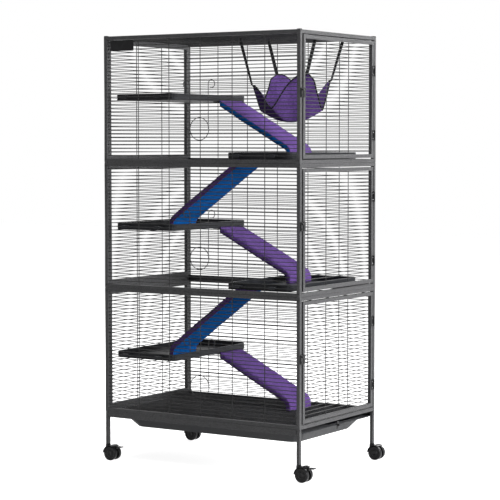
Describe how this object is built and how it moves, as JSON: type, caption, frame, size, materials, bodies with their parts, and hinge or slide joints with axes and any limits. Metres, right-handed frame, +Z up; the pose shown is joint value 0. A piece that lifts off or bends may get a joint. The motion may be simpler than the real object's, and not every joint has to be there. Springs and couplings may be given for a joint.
{
  "type": "small animal cage",
  "caption": "Tall wire cage for small animals with stacked storeys, hinged side doors, hook-on shelves, covered ramps, a corner-hung hammock, a slide-out tray and braked casters.",
  "frame": {"origin": "on the floor, under the middle of the frame's plan", "axes": "+X along the wide front to the right, where the doors are, +Y to the back, +Z up"},
  "size_m": [0.8579, 0.5472, 1.495],
  "materials": {
    "frame_paint": "powder coat",
    "wire": "powder coat",
    "shelf_plastic": "moulded",
    "ramp_fabric": "fleece",
    "ramp_board": "powder coat",
    "hammock_fabric": "fleece",
    "strap_fabric": "webbing",
    "bright_steel": "plated",
    "hardware": "powder coat",
    "tray_plastic": "moulded",
    "wheel_plastic": "moulded",
    "caster_plastic": "moulded",
    "cap_plastic": "moulded"
  },
  "bodies": {
    "cage": {"caster_sockets": "caster_plastic", "floor_grate": "wire", "hammock": "hammock_fabric", "hammock_clips": "bright_steel", "hammock_straps": "strap_fabric", "hinge_post_leaves": "hardware", "latch_plates": "hardware", "left_meshes": "wire", "left_panel_frames": "frame_paint", "legs": "frame_paint", "lower_back_mesh": "wire", "lower_back_ramp": "ramp_fabric", "lower_frame": "frame_paint", "lower_front_mesh": "wire", "lower_front_ramp": "ramp_fabric", "lower_shelf": "shelf_plastic", "middle_back_mesh": "wire", "middle_back_ramp": "ramp_fabric", "middle_frame": "frame_paint", "middle_front_mesh": "wire", "middle_front_ramp": "ramp_fabric", "middle_platform": "shelf_plastic", "middle_shelf": "shelf_plastic", "post_caps": "cap_plastic", "post_joiners": "frame_paint", "ramp_boards": "ramp_board", "roof_mesh": "wire", "tray_runners": "frame_paint", "upper_back_mesh": "wire", "upper_back_ramp": "ramp_fabric", "upper_frame": "frame_paint", "upper_front_mesh": "wire", "upper_platform": "shelf_plastic", "upper_shelf": "shelf_plastic", "wire_holders": "wire"},
    "lower_door": {"lower_door_frame": "frame_paint", "lower_door_mesh": "wire", "lower_door_fittings": "hardware"},
    "lower_latch": {"lower_latch": "hardware"},
    "middle_door": {"middle_door_frame": "frame_paint", "middle_door_mesh": "wire", "middle_door_fittings": "hardware"},
    "middle_latch": {"middle_latch": "hardware"},
    "upper_door": {"upper_door_frame": "frame_paint", "upper_door_mesh": "wire", "upper_door_fittings": "hardware"},
    "upper_latch": {"upper_latch": "hardware"},
    "tray": {"tray": "tray_plastic", "tray_pull": "bright_steel"},
    "front_left_swivel": {"front_left_caster_hood": "caster_plastic"},
    "front_left_wheel_pair": {"front_left_caster_wheels": "wheel_plastic"},
    "front_left_brake_lever": {"front_left_brake": "caster_plastic"},
    "back_left_swivel": {"back_left_caster_hood": "caster_plastic"},
    "back_left_wheel_pair": {"back_left_caster_wheels": "wheel_plastic"},
    "front_right_swivel": {"front_right_caster_hood": "caster_plastic"},
    "front_right_wheel_pair": {"front_right_caster_wheels": "wheel_plastic"},
    "front_right_brake_lever": {"front_right_brake": "caster_plastic"},
    "back_right_swivel": {"back_right_caster_hood": "caster_plastic"},
    "back_right_wheel_pair": {"back_right_caster_wheels": "wheel_plastic"}
  },
  "joints": [
    {"name": "lower_door_hinge", "type": "hinge", "parent": "cage", "child": "lower_door", "pos_m": [0.4036, 0.2458, 0.373], "axis": [0, 0, 1], "range_deg": [0, 170]},
    {"name": "lower_latch_turn", "type": "hinge", "parent": "cage", "child": "lower_latch", "pos_m": [0.403, -0.25365, 0.398], "axis": [1, 0, 0], "range_deg": [-90, 0]},
    {"name": "middle_door_hinge", "type": "hinge", "parent": "cage", "child": "middle_door", "pos_m": [0.4036, 0.2458, 0.813], "axis": [0, 0, 1], "range_deg": [0, 170]},
    {"name": "middle_latch_turn", "type": "hinge", "parent": "cage", "child": "middle_latch", "pos_m": [0.403, -0.25365, 0.838], "axis": [1, 0, 0], "range_deg": [-90, 0]},
    {"name": "upper_door_hinge", "type": "hinge", "parent": "cage", "child": "upper_door", "pos_m": [0.4036, 0.2458, 1.253], "axis": [0, 0, 1], "range_deg": [0, 170]},
    {"name": "upper_latch_turn", "type": "hinge", "parent": "cage", "child": "upper_latch", "pos_m": [0.403, -0.25365, 1.278], "axis": [1, 0, 0], "range_deg": [-90, 0]},
    {"name": "tray_slide", "type": "slide", "parent": "cage", "child": "tray", "axis": [1, 0, 0], "range_m": [0, 0.45]},
    {"name": "front_left_swivel_turn", "type": "hinge", "parent": "cage", "child": "front_left_swivel", "pos_m": [-0.39365, -0.25365, 0.058], "axis": [0, 0, 1], "continuous": true},
    {"name": "front_left_wheel_spin", "type": "hinge", "parent": "front_left_swivel", "child": "front_left_wheel_pair", "pos_m": [-0.37465, -0.25365, 0.025], "axis": [0, 1, 0], "continuous": true},
    {"name": "front_left_brake_press", "type": "hinge", "parent": "front_left_swivel", "child": "front_left_brake_lever", "pos_m": [-0.35344, -0.25365, 0.04621], "axis": [0, 1, 0], "range_deg": [0, 20]},
    {"name": "back_left_swivel_turn", "type": "hinge", "parent": "cage", "child": "back_left_swivel", "pos_m": [-0.39365, 0.25365, 0.058], "axis": [0, 0, 1], "continuous": true},
    {"name": "back_left_wheel_spin", "type": "hinge", "parent": "back_left_swivel", "child": "back_left_wheel_pair", "pos_m": [-0.37465, 0.25365, 0.025], "axis": [0, 1, 0], "continuous": true},
    {"name": "front_right_swivel_turn", "type": "hinge", "parent": "cage", "child": "front_right_swivel", "pos_m": [0.39365, -0.25365, 0.058], "axis": [0, 0, 1], "continuous": true},
    {"name": "front_right_wheel_spin", "type": "hinge", "parent": "front_right_swivel", "child": "front_right_wheel_pair", "pos_m": [0.41265, -0.25365, 0.025], "axis": [0, 1, 0], "continuous": true},
    {"name": "front_right_brake_press", "type": "hinge", "parent": "front_right_swivel", "child": "front_right_brake_lever", "pos_m": [0.43386, -0.25365, 0.04621], "axis": [0, 1, 0], "range_deg": [0, 20]},
    {"name": "back_right_swivel_turn", "type": "hinge", "parent": "cage", "child": "back_right_swivel", "pos_m": [0.39365, 0.25365, 0.058], "axis": [0, 0, 1], "continuous": true},
    {"name": "back_right_wheel_spin", "type": "hinge", "parent": "back_right_swivel", "child": "back_right_wheel_pair", "pos_m": [0.41265, 0.25365, 0.025], "axis": [0, 1, 0], "continuous": true}
  ]
}
